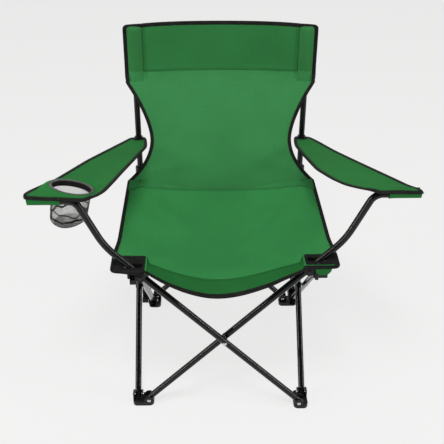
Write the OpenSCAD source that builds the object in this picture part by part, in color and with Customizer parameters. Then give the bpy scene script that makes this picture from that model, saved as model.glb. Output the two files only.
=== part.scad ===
// Folding camp chair: a square scissor frame of eight crossed tubes on four
// feet, two back posts, and a sewn seat, back and pair of arm rests.
// Left and right are those of someone who faces the chair. Front is -Y, up is +Z.

/* [Frame] */
// Half the distance between opposite pairs of crossed tubes
half_frame = 215; // [205:1:225]
// How far each pivot lies inside the corner of the frame
pin_inset = 20.5; // [19:0.5:22]
// Height of the lower pivots above the ground
foot_pin_z = 18; // [17:0.5:21]
// Height of the upper pivots above the lower ones
pin_rise = 411; // [395:1:425]
// Outer diameter of the frame tubes
tube_d = 16; // [15:0.5:17]
// Wall of the frame tubes
tube_wall = 1.2; // [0.8:0.1:2]
// Gap between two crossed tubes, filled by a washer
cross_gap = 2; // [1.5:0.25:3]
// Length of tube past a pivot at a plain end
tube_stub = 8; // [7:0.5:9]

/* [Arm supports] */
// Straight length of an arm support above the upper pivot
arm_stub = 79; // [74:1:84]
// Radius of the lower bend of an arm support
arm_sweep_r = 180; // [160:5:200]
// Steepness of an arm support below its top bend
arm_steep = 66; // [62:1:70]
// Straight length between the lower bend and the top bend
arm_neck = 80; // [75:1:85]
// Centre-line radius of the top bend
arm_bend_r = 30; // [26:1:36]
// Straight length of tube inside the arm rest's pocket
arm_reach = 74; // [66:1:80]

/* [Back posts] */
// Distance of each post outside the middle plane of its side's tubes
post_out = 13; // [11:0.5:16]
// Distance of each post's pivot behind the rear tubes' middle plane
post_set = 25.5; // [25:0.5:28]
// Backward lean of the posts
post_lean = 4; // [3:0.25:4.5]
// Length of a post above its pivot
post_len = 814; // [790:1:830]

/* [Fittings] */
// Thickness of the ears that hold a tube end
ear_t = 4; // [3:0.25:5]
// Radius of the ears round their pivot
ear_r = 12; // [11.5:0.25:12.5]
// Gap between a tube and each ear
ear_gap = 0.6; // [0.4:0.1:0.9]
// Shank radius of the rivets
rivet_r = 3; // [2.5:0.25:3.5]
// Radial running clearance of a rivet in a tube
rivet_play = 0.08; // [0.04:0.01:0.1]
// Head radius of the rivets
head_r = 4.8; // [4.5:0.1:5]
// Height of a rivet head
head_h = 2; // [1.5:0.1:2.2]
// Thickness of a foot's sole
sole_t = 5.5; // [4.5:0.25:6]
// Height of a foot's solid body
foot_body_h = 12; // [11:0.25:13]
// Wall of the sliding collars
collar_wall = 5; // [4:0.5:6]
// Height of the sliding collars
collar_h = 34; // [28:1:40]
// Room that a leaning post has in its collar, each way
collar_play = 2; // [2:0.1:2.6]

/* [Fabric] */
// Thickness of the sewn panels
cloth_t = 2.4; // [2:0.1:3]
// Overhang of the seat and the back outside the frame's side planes
panel_over = 39; // [35:1:42]
// How far the back's waist lies inside the frame's side planes
waist_in = 25; // [20:1:30]
// Height of the waist above the seat's corners
waist_h = 105; // [95:1:115]
// Height of the seat's corners above the upper pivots
seat_lift = 26; // [24:0.5:30]
// Sag of the seat in its middle
seat_sag = 62; // [50:1:70]
// How far the back bows backwards between the posts
back_bow = 14; // [8:1:20]
// Sag of the seat's front edge
front_sag = 76; // [65:1:82]
// Distance of the seam between seat and back in front of the rear tubes' middle plane
seam_in = 43; // [39:1:47]
// Overhang of the seat in front of the front tubes' middle plane
front_over = 33; // [30:1:35]
// Sag of the seam between seat and back
seam_sag = 30; // [24:1:36]
// Height of the lower end of the sleeves above the seat's corners
sleeve_h = 245; // [235:1:255]
// Width of a sleeve laid flat
sleeve_w = 48; // [44:1:52]
// Height of the back's upper edge above the posts' caps
hem_over = 13; // [11:0.5:15]
// Height of the headrest band
band_h = 123; // [115:1:130]
// Width of a front corner patch
patch_w = 80; // [76:1:82]
// Depth of a front corner patch
patch_d = 66; // [62:1:70]

/* [Arm rests] */
// Height of an arm rest's rear end above the upper pivots
arm_rear_lift = 101; // [96:1:106]
// Gap between an arm support's pocket and the panel over it
arm_lift = 0.5; // [0.3:0.1:1]
// Diameter of the cup holder's ring
ring_d = 98; // [94:1:102]
// Diameter of the hole for the cup
cup_d = 84; // [80:1:88]
// Depth of the cup holder's bag
cup_depth = 100; // [90:1:110]
// Distance of the cup holder's middle inside the end of its arm support
cup_inset = 76; // [72:1:80]
// Distance of the cup holder's middle behind the outer front tube
cup_back = 66; // [62:1:74]

/* [Hidden] */
$fn = 48;

// Corner numbers: the frame's four corners are one corner turned by quarters
FRONT_LEFT = 0;
FRONT_RIGHT = 1;
REAR_RIGHT = 2;
REAR_LEFT = 3;
LEFT = -1;
RIGHT = 1;

tube_r = tube_d / 2;
plane_out = half_frame + (tube_d + cross_gap) / 2;
plane_in = half_frame - (tube_d + cross_gap) / 2;
pin_at = half_frame - pin_inset;
hub_pin_z = foot_pin_z + pin_rise;
tube_angle = atan(pin_rise / (2 * pin_at));
half_len = norm([pin_at, pin_rise / 2]);
sweep = arm_steep - tube_angle;
bore_r = rivet_r + rivet_play;
ear_in = tube_r + ear_gap;
ear_out = ear_in + ear_t;
ear_edge = pin_at - ear_r;
corner_edge = plane_out + ear_out;
// A tube end's corner swings this far from its pivot
end_swing = norm([tube_stub, tube_r]);
web_gap = 0.7;
slot_edge = pin_at + end_swing + web_gap;
web_edge = pin_at + tube_r + web_gap;
block_edge = plane_in + ear_out;
web_top = hub_pin_z - 6;
web_h = 12;
post_x = half_frame + post_out;
post_y = half_frame + post_set;
seat_z = hub_pin_z + seat_lift;
waist_z = seat_z + waist_h;
sleeve_z = seat_z + sleeve_h;
arm_rear_z = hub_pin_z + arm_rear_lift;
panel_half = half_frame + panel_over;
waist_half = half_frame - waist_in;
seam_y = half_frame - seam_in;
seat_front_y = -half_frame - front_over;
collar_slot_r = tube_r + 0.1;
collar_r = collar_slot_r + collar_wall;
seat_gap = 0.3;

function lean_y(z) = post_y + (z - foot_pin_z) * tan(post_lean);
post_top_z = foot_pin_z + post_len * cos(post_lean);
cap_t = 3;
sleeve_r = tube_r + 2.8;
fabric_top = post_top_z + cap_t + hem_over;
// The model stands with the middle of its box over the origin
rear_reach = max(lean_y(fabric_top) + back_bow + cloth_t / 2,
  lean_y(fabric_top) + sleeve_r * cos(post_lean));
shift_y = -(rear_reach + seat_front_y) / 2;

module place() translate([0, shift_y, 0]) children();
module corner(i) rotate([0, 0, 90 * i]) children();
module black() color([0.07, 0.07, 0.075]) children();
module green() color([0.09, 0.42, 0.2]) children();
module bright() color([0.75, 0.75, 0.76]) children();

// ---------- tubes ----------
// Straight tube, solid or hollow, from the local origin along +Z
module run(len, r) cylinder(h = len, r = r);
module bend_arc(bend_r, angle, r)
  translate([bend_r, 0, 0]) rotate([90, 0, 0]) rotate([0, 0, 180 - angle])
    rotate_extrude(angle = angle) translate([bend_r, 0]) circle(r = r);
// Moves its children to the end of a bend towards +X
module after_bend(bend_r, angle)
  translate([bend_r, 0, 0]) rotate([0, angle, 0]) translate([-bend_r, 0, 0]) children();
// Straight runs lap over the bends, which are a hair thinner, so that all pieces join
bend_lap = 1;
bend_step = 0.05;
module arm_route(r, from_z, extra = 0) {
  translate([0, 0, from_z]) run(half_len + arm_stub + bend_lap - from_z, r);
  translate([0, 0, half_len + arm_stub]) {
    bend_arc(arm_sweep_r, sweep, r - bend_step);
    after_bend(arm_sweep_r, sweep) {
      translate([0, 0, -bend_lap]) run(arm_neck + 2 * bend_lap, r);
      translate([0, 0, arm_neck]) mirror([1, 0, 0]) {
        bend_arc(arm_bend_r, arm_steep, r - bend_step);
        after_bend(arm_bend_r, arm_steep)
          translate([0, 0, -bend_lap]) run(arm_reach + bend_lap + extra, r);
      }
    }
  }
}
// Moves its children to the open end of an arm support
module arm_end()
  translate([0, 0, half_len + arm_stub]) after_bend(arm_sweep_r, sweep)
    translate([0, 0, arm_neck]) mirror([1, 0, 0]) after_bend(arm_bend_r, arm_steep)
      translate([0, 0, arm_reach]) children();

neck_x = pin_at + arm_stub * cos(tube_angle) + arm_sweep_r * (sin(arm_steep) - sin(tube_angle))
  + arm_neck * cos(arm_steep);
neck_z = hub_pin_z + arm_stub * sin(tube_angle)
  + arm_sweep_r * (cos(tube_angle) - cos(arm_steep)) + arm_neck * sin(arm_steep);
arm_top_x = neck_x + arm_bend_r * sin(arm_steep);
arm_tube_z = neck_z + arm_bend_r * (1 - cos(arm_steep));
arm_end_x = arm_top_x + arm_reach;

// Middle of the front pair's tube in the plane y = -plane, rising to the left
module rising(plane) translate([0, -plane, foot_pin_z + pin_rise / 2])
  rotate([0, tube_angle - 90, 0]) children();
module pin_bores(r, len)
  for (z = [-half_len, 0, half_len]) translate([0, 0, z]) rotate([90, 0, 0])
    cylinder(h = len, r = r, center = true);
module plain_tube(plane) black() rising(plane) difference() {
  translate([0, 0, -half_len - tube_stub]) cylinder(h = 2 * (half_len + tube_stub), r = tube_r);
  translate([0, 0, -half_len - tube_stub - 1])
    cylinder(h = 2 * (half_len + tube_stub + 1), r = tube_r - tube_wall);
  pin_bores(bore_r, tube_d + 2);
}
module arm_tube(plane) black() rising(plane) difference() {
  arm_route(tube_r, -half_len - tube_stub);
  arm_route(tube_r - tube_wall, -half_len - tube_stub - 1, 1);
  pin_bores(bore_r, tube_d + 2);
}
module outer_tube(i) corner(i) plain_tube(plane_out);
module inner_tube(i) corner(i) mirror([1, 0, 0]) plain_tube(plane_in);

// ---------- rivets ----------
module rivet(len) {
  cylinder(h = len, r = rivet_r, center = true);
  for (m = [0, 1]) mirror([0, 0, m]) translate([0, 0, len / 2]) {
    cylinder(h = head_h * 0.5, r = head_r);
    translate([0, 0, head_h * 0.5]) cylinder(h = head_h * 0.5, r1 = head_r, r2 = head_r * 0.6);
  }
}
module centre_rivet() bright() translate([0, -half_frame, foot_pin_z + pin_rise / 2])
  rotate([90, 0, 0]) {
    rivet(2 * tube_d + cross_gap);
    difference() {
      cylinder(h = cross_gap - 2 * rivet_play, r = tube_r - 1, center = true);
      cylinder(h = cross_gap, r = bore_r, center = true);
    }
  }
// Pivots at the front left corner: one along X, one along Y
module pin_x(plane, z) translate([-plane, -pin_at, z]) rotate([0, 90, 0]) children();
module pin_y(plane, z) translate([-pin_at, -plane, z]) rotate([90, 0, 0]) children();
module foot_rivets() bright() {
  pin_x(plane_out, foot_pin_z) rivet(2 * ear_out);
  pin_y(plane_in, foot_pin_z) rivet(2 * ear_out);
}
module hub_rivets() bright() {
  pin_x(plane_in, hub_pin_z) rivet(2 * ear_out);
  pin_y(plane_out, hub_pin_z) rivet(2 * ear_out);
}
// s places a piece at the left or right post, with its pivot along X
module at_post_pin(s) translate([s * post_x, post_y, foot_pin_z]) rotate([0, 90, 0]) children();
module on_post(s, z) translate([s * post_x, post_y, foot_pin_z]) rotate([-post_lean, 0, 0])
  translate([0, 0, (z - foot_pin_z) / cos(post_lean)]) children();

// ---------- feet ----------
module pair_of_ears(h) for (m = [0, 1]) mirror([0, 0, m]) translate([0, 0, ear_in])
  cylinder(h = ear_t, r = h);
// Front left foot. The side tube stands in the outer slot, the front tube in the inner one
module foot_blank() {
  corner_r = 11;
  hull() for (x = [-corner_edge + corner_r, -ear_edge - corner_r],
              y = [-plane_in - ear_out + corner_r, -ear_edge - corner_r])
    translate([x, y, 0]) {
      cylinder(h = 3, r1 = corner_r - 3, r2 = corner_r);
      cylinder(h = foot_body_h, r = corner_r);
    }
  pin_x(plane_out, foot_pin_z) pair_of_ears(ear_r);
  pin_y(plane_in, foot_pin_z) pair_of_ears(ear_r);
}
module foot_cuts() {
  wide = 2 * ear_in;
  translate([-plane_out - ear_in, -slot_edge, sole_t]) cube([wide, 80, 80]);
  translate([-slot_edge, -plane_in - ear_in, sole_t]) cube([80, wide, 80]);
  pin_x(plane_out, foot_pin_z) cylinder(h = 2 * ear_out + 2, r = rivet_r, center = true);
  pin_y(plane_in, foot_pin_z) cylinder(h = 2 * ear_out + 2, r = rivet_r, center = true);
}
module rear_foot_rivets(i, s) bright() {
  corner(i) foot_rivets();
  at_post_pin(s) rivet(2 * ear_out);
}
module foot() black() difference() {
  foot_blank();
  foot_cuts();
}
// A rear foot also carries the post in a third slot, outside the frame
module post_seat(s) {
  base_y = plane_in;
  translate([s * post_x - ear_out, base_y, 0])
    cube([2 * ear_out, post_y + ear_r - base_y, foot_body_h - ear_gap]);
  at_post_pin(s) pair_of_ears(ear_r);
}
module rear_foot(i, s) black() difference() {
  union() {
    corner(i) foot_blank();
    post_seat(s);
  }
  corner(i) foot_cuts();
  translate([s * post_x - ear_in, post_y - end_swing - web_gap, sole_t])
    cube([2 * ear_in, 80, 80]);
  at_post_pin(s) cylinder(h = 2 * ear_out + 2, r = rivet_r, center = true);
}

// ---------- hubs ----------
module hub_blank() {
  pin_x(plane_in, hub_pin_z) pair_of_ears(ear_r);
  pin_y(plane_out, hub_pin_z) pair_of_ears(ear_r);
  // corner block and the web that reaches the far ear
  translate([-plane_in - ear_out, -corner_edge, web_top - web_h])
    cube([plane_in + ear_out - web_edge, corner_edge - web_edge, web_h]);
  translate([-plane_in - ear_out, -plane_out + ear_in, web_top - web_h])
    cube([2 * ear_out, plane_out - ear_in - web_edge, web_h]);
}
module hub_cuts() {
  pin_x(plane_in, hub_pin_z) cylinder(h = 2 * ear_out + 2, r = rivet_r, center = true);
  pin_y(plane_out, hub_pin_z) cylinder(h = 2 * ear_out + 2, r = rivet_r, center = true);
}
boss_r = 4.5;
boss_at = [-(block_edge + boss_r - 1), -(plane_out - ear_in - boss_r)];
screw_r = 1.6;
screw_head_r = 3.5;
patch_z = seat_z - cloth_t;
module front_hub() black() difference() {
  union() {
    hub_blank();
    translate([boss_at.x, boss_at.y, web_top - web_h])
      cylinder(h = patch_z - seat_gap - web_top + web_h, r = boss_r);
  }
  hub_cuts();
  // room for the arm support that rises past the far ear
  translate([-plane_in - ear_in, -corner_edge - 1, hub_pin_z + head_r])
    cube([2 * ear_in, corner_edge - block_edge + ear_in, 2 * ear_r]);
  translate([boss_at.x, boss_at.y, patch_z - 12]) cylinder(h = 20, r = screw_r);
}
// A sliding hub carries a pad under the seat's corner and a collar round its post
pad_t = 7;
pad_top = seat_z - cloth_t - seat_gap;
pad_in = plane_in - 2;
pad_front = seam_y - 14;
screw_x = plane_in + tube_d;
screw_y = seam_y - 7;
module slider(i, s) black() difference() {
  union() {
    corner(i) hub_blank();
    slider_top(s);
    collar_arm(s);
    collar_body(s);
  }
  corner(i) hub_cuts();
  collar_slot(s);
  at_seat_screw(s) cylinder(h = 20, r = screw_r, center = true);
}
module at_seat_screw(s) translate([s * screw_x, screw_y, seat_z]) children();
module slider_top(s) mirror([s == LEFT ? 1 : 0, 0, 0]) {
  side = block_edge - slot_edge;
  translate([slot_edge, slot_edge, web_top - web_h]) cube([side, side, pad_top - web_top + web_h]);
  translate([pad_in, pad_front, pad_top - pad_t])
    cube([plane_out + ear_out - pad_in, block_edge - pad_front, pad_t]);
}
module collar_arm(s) {
  side = block_edge - slot_edge;
  reach = lean_y(web_top) - collar_slot_r - collar_play - 2;
  hull() {
    translate([s * (slot_edge + side / 2) - side / 2, slot_edge, web_top - web_h])
      cube([side, side, web_h]);
    translate([s * post_x - side / 2, reach - 3, web_top - web_h]) cube([side, 3, web_h]);
  }
}
module collar_body(s) hull() for (d = [-collar_play, collar_play])
  translate([s * post_x, lean_y(hub_pin_z) + d, web_top - web_h])
    cylinder(h = collar_h, r = collar_r);
module collar_slot(s) for (d = [-collar_play, 0, collar_play]) translate([0, d, 0])
  on_post(s, hub_pin_z) cylinder(h = 4 * collar_h, r = collar_slot_r, center = true);

// ---------- posts ----------
module post(s) black() difference() {
  translate([s * post_x, post_y, foot_pin_z]) rotate([-post_lean, 0, 0])
    translate([0, 0, -tube_stub]) difference() {
      cylinder(h = post_len + tube_stub, r = tube_r);
      translate([0, 0, -1]) cylinder(h = post_len + tube_stub + 2, r = tube_r - tube_wall);
    }
  at_post_pin(s) cylinder(h = tube_d + 2, r = bore_r, center = true);
}
module post_cap(s) black() on_post(s, post_top_z) {
  cylinder(h = cap_t, r1 = tube_r, r2 = tube_r - 1.5);
  translate([0, 0, -10]) cylinder(h = 10, r = tube_r - tube_wall);
}
ring_play = 0.05;
module ring_on_post(s, z, h, r) black() on_post(s, z) difference() {
  cylinder(h = h, r = r);
  translate([0, 0, -1]) cylinder(h = h + 2, r = tube_r + ring_play);
}
stop_h = 10;
loop_h = 14;
loop_r = tube_r + 3.5;
loop_z = arm_rear_z - loop_h / 2;
module stop_ring(s) ring_on_post(s, loop_z - stop_h - 1, stop_h, tube_r + 3);
module arm_loop(s) ring_on_post(s, loop_z, loop_h, loop_r);
module arm_plug() black() arm_end() {
  cylinder(h = cap_t, r1 = tube_r, r2 = tube_r - 1.5);
  translate([0, 0, -10]) cylinder(h = 10, r = tube_r - tube_wall);
}
module arm_plug_at(plane) rising(plane) arm_plug();

// ---------- fabric ----------
// A closed sheet between two grids of points, rows of equal length
function flat(rows) = [for (row = rows) for (p = row) p];
module cloth(rows, drop) {
  n = len(rows);
  m = len(rows[0]);
  top = flat(rows);
  low = [for (p = top) p - drop];
  k = n * m;
  grid = [for (i = [0 : n - 2]) for (j = [0 : m - 2])
    [i * m + j, i * m + j + 1, (i + 1) * m + j + 1, (i + 1) * m + j]];
  up = [for (q = grid) each [[q[0], q[1], q[2]], [q[0], q[2], q[3]]]];
  down = [for (t = up) [t[0] + k, t[2] + k, t[1] + k]];
  rim = concat([for (j = [0 : m - 2]) j], [for (i = [0 : n - 2]) i * m + m - 1],
    [for (j = [m - 1 : -1 : 1]) (n - 1) * m + j], [for (i = [n - 1 : -1 : 1]) i * m]);
  wall = [for (e = [0 : len(rim) - 1]) let (a = rim[e], b = rim[(e + 1) % len(rim)])
    each [[b, a, a + k], [b, a + k, b + k]]];
  polyhedron(points = concat(top, low), faces = concat(up, down, wall), convexity = 6);
}

cols = 12;
function spread(half) = [for (j = [0 : cols]) (j / cols * 2 - 1) * half];
// The same, with a flat strip outside the edge on both sides
function spread_in(half, edge) = concat([-half], spread(min(edge, half - 2)), [half]);

// Height of the seat's upper face. Its corners are flat, where the hubs hold it
function across(y) = (seam_y - y) / (seam_y - seat_front_y);
function dip_half(y) = let (t = across(y))
  patch_in * t + dip_rear * (1 - t) + (panel_half - patch_in) * 3.2 * t * (1 - t);
function seat_dip(y) = let (t = across(y), line = seam_sag + (front_sag - seam_sag) * t)
  line + (seat_sag - (seam_sag + front_sag) / 2) * 4 * t * (1 - t);
function seat_h(x, y) = seat_z - seat_dip(y) * max(0, 1 - pow(x / dip_half(y), 2));
function seat_row(y, half) = [for (x = spread_in(half, dip_half(y))) [x, y, seat_h(x, y)]];
split_y = (seam_y + seat_front_y) / 2 + 22;
dip_rear = pad_in - 12;
patch_out = panel_half + 6;
patch_in = patch_out - patch_w;
patch_rear_y = seat_front_y + patch_d;
joint_gap = 0.4;
rear_ys = [for (i = [0 : 6]) seam_y + (split_y - seam_y) * i / 6];
lip_from = patch_rear_y + joint_gap;
front_ys = [for (i = [0 : 5]) split_y - joint_gap + (lip_from + 3 + joint_gap - split_y) * i / 5];
lip_ys = [for (i = [0 : 3]) lip_from + (seat_front_y - lip_from) * i / 3];
module seat_rear() green() difference() {
  cloth([for (y = rear_ys) seat_row(y, panel_half)], [0, 0, cloth_t]);
  for (s = [LEFT, RIGHT]) at_seat_screw(s) cylinder(h = 20, r = screw_r + 0.6, center = true);
}
module seat_front() green()
  cloth(concat([for (y = front_ys) seat_row(y, panel_half)],
    [for (y = lip_ys) seat_row(y, patch_in - joint_gap)]), [0, 0, cloth_t]);

// Slot of a corner patch: the tube leans from its open to its folded angle
function tube_x(z) = pin_at + (z - hub_pin_z) / tan(tube_angle);
module corner_patch(plane, hole) black() {
  reach = tube_x(seat_z) + tube_r / sin(tube_angle) + 2 - tube_r;
  difference() {
    translate([-patch_out, seat_front_y, patch_z]) cube([patch_w, patch_d, cloth_t]);
    for (x = [pin_at, reach]) translate([-x, -plane, patch_z - 1])
      cylinder(h = cloth_t + 2, r = tube_r + 1);
    translate([-reach, -plane - tube_r - 1, patch_z - 1])
      cube([reach - pin_at, tube_d + 2, cloth_t + 2]);
    translate([hole.x, hole.y, patch_z - 1]) cylinder(h = cloth_t + 2, r = screw_r);
  }
}
module screw(z) bright() translate([0, 0, z]) {
  cylinder(h = 1.6, r1 = screw_head_r, r2 = screw_head_r * 0.6);
  translate([0, 0, -10]) cylinder(h = 10, r = screw_r);
}
module patch_screw() translate([boss_at.x, boss_at.y, 0]) screw(seat_z);
module seat_screw(s) at_seat_screw(s) screw(seat_gap);

// The back rises from the seam to the sleeves and then follows the posts
step_z = 5;
sleeve_in = post_x - sleeve_w / 2;
band_z = fabric_top - band_h;
foot_of_sleeve_y = lean_y(sleeve_z - step_z) - tube_r / cos(post_lean) - seat_gap - cloth_t;
function bow(x) = back_bow * max(0, 1 - pow(x / sleeve_in, 2));
function back_half(t) = let (w = (waist_z - seat_z) / (sleeve_z - seat_z)) t >= w
  ? waist_half + (panel_half - waist_half) * pow((t - w) / (1 - w), 1.6)
  : waist_half + (panel_half - waist_half) * pow((w - t) / w, 2);
function low_point(x, t) = let (z0 = seat_h(x, seam_y) - cloth_t)
  [x, seam_y + joint_gap + (foot_of_sleeve_y - seam_y - joint_gap) * t + bow(x) * t,
    z0 + (sleeve_z - step_z - z0) * t];
function low_row(t) = [for (x = spread_in(back_half(t), dip_rear + (sleeve_in - dip_rear) * t))
  low_point(x, t)];
// Between the sleeves, clear of the posts
between = spread_in(sleeve_in - joint_gap, dip_rear);
function high_row(z) = [for (x = between) [x, lean_y(z) - cloth_t / 2 + bow(x), z]];
function band_row(z) = [for (p = high_row(z)) p - [0, band_t + seat_gap, 0]];
band_t = 1.6;
split_t = 0.5;
split_gap = 0.0015;
module back_panel() green() cloth(concat(
  [for (z = [fabric_top, band_z, sleeve_z - 0.5]) high_row(z)],
  [[for (x = between) low_point(x, 1)]]), [0, -cloth_t, 0]);
// Below the sleeves the back is in two lengths, which fold against each other
module back_length(from, to) green() cloth([for (i = [0 : 5])
  low_row(from - split_gap + (to - from + 2 * split_gap) * i / 5)], [0, -cloth_t, 0]);
module headrest_band() green()
  cloth([for (z = [fabric_top - 1, band_z]) band_row(z)], [0, -band_t, 0]);
module sleeve(s) green() on_post(s, sleeve_z) {
  len = (fabric_top - sleeve_z) / cos(post_lean);
  bore_len = (post_top_z + cap_t - sleeve_z) / cos(post_lean) + 0.5;
  difference() {
    linear_extrude(len) sleeve_outline();
    translate([0, 0, -1]) cylinder(h = bore_len + 1, r = tube_r + 0.2);
  }
}
module sleeve_outline() {
  edge = cloth_t / 2;
  polygon([[-sleeve_w / 2, -edge], [-tube_r, -sleeve_r], [tube_r, -sleeve_r], [sleeve_w / 2, -edge],
    [sleeve_w / 2, edge], [tube_r, sleeve_r], [-tube_r, sleeve_r], [-sleeve_w / 2, edge]]);
}

// ---------- arm rests ----------
// The panel's plane rises from the post to the top of its support
rear_y = lean_y(arm_rear_z);
pocket_t = 1.6;
pocket_in = 12;
pocket_r = tube_r + seat_gap + pocket_t;
steep_max = 13.5;
arm_front_z = arm_tube_z + (pocket_r + arm_lift + cloth_t) / cos(steep_max);
function arm_slope(plane) = atan((arm_front_z - arm_rear_z) / (rear_y + plane));
arm_front = 12;
arm_hem = 13;
module in_arm_plane(plane) translate([0, rear_y, arm_rear_z])
  rotate([-arm_slope(plane), 0, 0]) translate([0, 0, -cloth_t]) children();
module arm_shape(plane) {
  front = -(rear_y + plane + arm_front) / cos(arm_slope(plane));
  function out(t) = post_x + (arm_end_x - post_x) * t;
  polygon([[-post_x + 16, arm_hem], [-post_x - 26, arm_hem], [-out(0.585), front * 0.43],
    [-out(0.851), front * 0.76], [-arm_end_x - 12, front + 45], [-arm_end_x - 14, front],
    [-out(0.362), front], [-out(0.255), front + 14], [-out(0.181), front + 42],
    [-out(0.112), front + 130], [-post_x + 31, -92], [-post_x + 25, -50]]);
}
module arm_panel(plane, holed) green() difference() {
  in_arm_plane(plane) linear_extrude(cloth_t) arm_shape(plane);
  on_post(LEFT, arm_rear_z - 40) cylinder(h = 80, r = loop_r + 0.4);
  if (holed) in_arm_plane(plane) at_cup(plane) cylinder(h = 20, r = ring_d / 2 + 0.2, center = true);
}
module at_cup(plane) translate([-cup_x, -(cup_y + rear_y) / cos(arm_slope(plane)), 0]) children();
cup_x = arm_end_x - cup_inset;
cup_y = plane_out - cup_back;
ring_lip = 0.8;
module cup_ring() color([0.6, 0.6, 0.6]) in_arm_plane(plane_out) at_cup(plane_out)
  translate([0, 0, -ring_lip]) difference() {
    cylinder(h = cloth_t + 2 * ring_lip, r = ring_d / 2);
    translate([0, 0, -1]) cylinder(h = cloth_t + 2 * ring_lip + 2, r = cup_d / 2);
  }
bag_t = 1.6;
bag_r = cup_d / 2 + 3;
bag_foot_r = 38;
cup_z = arm_rear_z + (rear_y + cup_y) * tan(arm_slope(plane_out));
module cup_bag() color([0.75, 0.75, 0.75]) difference() {
  translate([-cup_x, -cup_y, cup_z - cup_depth]) difference() {
    cylinder(h = cup_depth + 20, r1 = bag_foot_r, r2 = bag_r);
    translate([0, 0, bag_t]) cylinder(h = cup_depth + 20, r1 = bag_foot_r - bag_t, r2 = bag_r - bag_t);
  }
  in_arm_plane(plane_out) at_cup(plane_out) translate([-100, -100, -ring_lip]) cube([200, 200, 60]);
}
module arm_pocket(plane) green() translate([-arm_top_x - pocket_in, -plane, arm_tube_z])
  rotate([0, -90, 0]) difference() {
    len = arm_reach - pocket_in + cap_t + 2;
    cylinder(h = len + pocket_t, r = pocket_r);
    translate([0, 0, -1]) cylinder(h = len + 1, r = tube_r + seat_gap);
  }

place() {
  corner(FRONT_LEFT) foot();  // foot_front_left
  corner(FRONT_RIGHT) foot();  // foot_front_right
  rear_foot(REAR_RIGHT, RIGHT);  // foot_rear_right
  rear_foot(REAR_LEFT, LEFT);  // foot_rear_left
  arm_tube(plane_out);  // front_tube_outer
  mirror([1, 0, 0]) arm_tube(plane_in);  // front_tube_inner
  outer_tube(FRONT_RIGHT);  // right_tube_outer
  inner_tube(FRONT_RIGHT);  // right_tube_inner
  outer_tube(REAR_RIGHT);  // rear_tube_outer
  inner_tube(REAR_RIGHT);  // rear_tube_inner
  outer_tube(REAR_LEFT);  // left_tube_outer
  inner_tube(REAR_LEFT);  // left_tube_inner
  corner(FRONT_LEFT) front_hub();  // hub_front_left
  corner(FRONT_RIGHT) front_hub();  // hub_front_right
  slider(REAR_RIGHT, RIGHT);  // slider_right
  slider(REAR_LEFT, LEFT);  // slider_left
  post(LEFT);  // post_left
  post(RIGHT);  // post_right
  post_cap(LEFT);  // post_cap_left
  post_cap(RIGHT);  // post_cap_right
  corner(FRONT_LEFT) centre_rivet();  // front_centre_rivet
  corner(FRONT_RIGHT) centre_rivet();  // right_centre_rivet
  corner(REAR_RIGHT) centre_rivet();  // rear_centre_rivet
  corner(REAR_LEFT) centre_rivet();  // left_centre_rivet
  corner(FRONT_LEFT) foot_rivets();  // foot_rivets_front_left
  corner(FRONT_RIGHT) foot_rivets();  // foot_rivets_front_right
  rear_foot_rivets(REAR_RIGHT, RIGHT);  // foot_rivets_rear_right
  rear_foot_rivets(REAR_LEFT, LEFT);  // foot_rivets_rear_left
  corner(FRONT_LEFT) hub_rivets();  // hub_rivets_front_left
  corner(FRONT_RIGHT) hub_rivets();  // hub_rivets_front_right
  corner(REAR_RIGHT) hub_rivets();  // slider_rivets_right
  corner(REAR_LEFT) hub_rivets();  // slider_rivets_left
  arm_plug_at(plane_out);  // arm_tube_plug_left
  mirror([1, 0, 0]) arm_plug_at(plane_in);  // arm_tube_plug_right
  stop_ring(LEFT);  // stop_ring_left
  stop_ring(RIGHT);  // stop_ring_right
  arm_loop(LEFT);  // arm_loop_left
  arm_loop(RIGHT);  // arm_loop_right
  sleeve(LEFT);  // sleeve_left
  sleeve(RIGHT);  // sleeve_right
  back_panel();
  back_length(1, split_t);  // back_waist
  back_length(split_t, 0);  // back_lumbar
  headrest_band();
  seat_rear();
  seat_front();
  corner_patch(plane_out, boss_at);  // corner_patch_left
  mirror([1, 0, 0])  // corner_patch_right
    corner_patch(plane_in, [boss_at.y, boss_at.x]);
  patch_screw();  // patch_screw_left
  corner(FRONT_RIGHT) patch_screw();  // patch_screw_right
  seat_screw(LEFT);  // seat_screw_left
  seat_screw(RIGHT);  // seat_screw_right
  arm_panel(plane_out, true);  // arm_panel_left
  mirror([1, 0, 0]) arm_panel(plane_in, false);  // arm_panel_right
  arm_pocket(plane_out);  // arm_pocket_left
  mirror([1, 0, 0]) arm_pocket(plane_in);  // arm_pocket_right
  cup_ring();
  cup_bag();
}
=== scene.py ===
import math

import bpy
import numpy as np
from mathutils import Matrix, Vector


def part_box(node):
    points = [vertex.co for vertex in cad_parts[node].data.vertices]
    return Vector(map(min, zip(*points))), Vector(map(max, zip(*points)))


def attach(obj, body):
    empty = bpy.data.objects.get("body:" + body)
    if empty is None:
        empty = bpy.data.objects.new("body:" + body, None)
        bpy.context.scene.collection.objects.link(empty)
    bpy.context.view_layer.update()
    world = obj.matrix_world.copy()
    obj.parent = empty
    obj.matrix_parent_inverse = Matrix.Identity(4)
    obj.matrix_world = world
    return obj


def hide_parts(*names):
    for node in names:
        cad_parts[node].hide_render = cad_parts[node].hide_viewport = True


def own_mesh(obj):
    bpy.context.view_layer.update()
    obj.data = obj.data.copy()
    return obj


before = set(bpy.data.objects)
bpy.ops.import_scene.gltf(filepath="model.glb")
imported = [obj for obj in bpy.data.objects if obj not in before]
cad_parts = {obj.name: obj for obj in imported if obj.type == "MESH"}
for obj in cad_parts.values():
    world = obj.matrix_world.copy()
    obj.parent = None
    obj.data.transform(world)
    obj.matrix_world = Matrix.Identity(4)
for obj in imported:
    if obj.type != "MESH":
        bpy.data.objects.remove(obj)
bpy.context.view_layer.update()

# -------------------- camera
scene = bpy.context.scene
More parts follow.
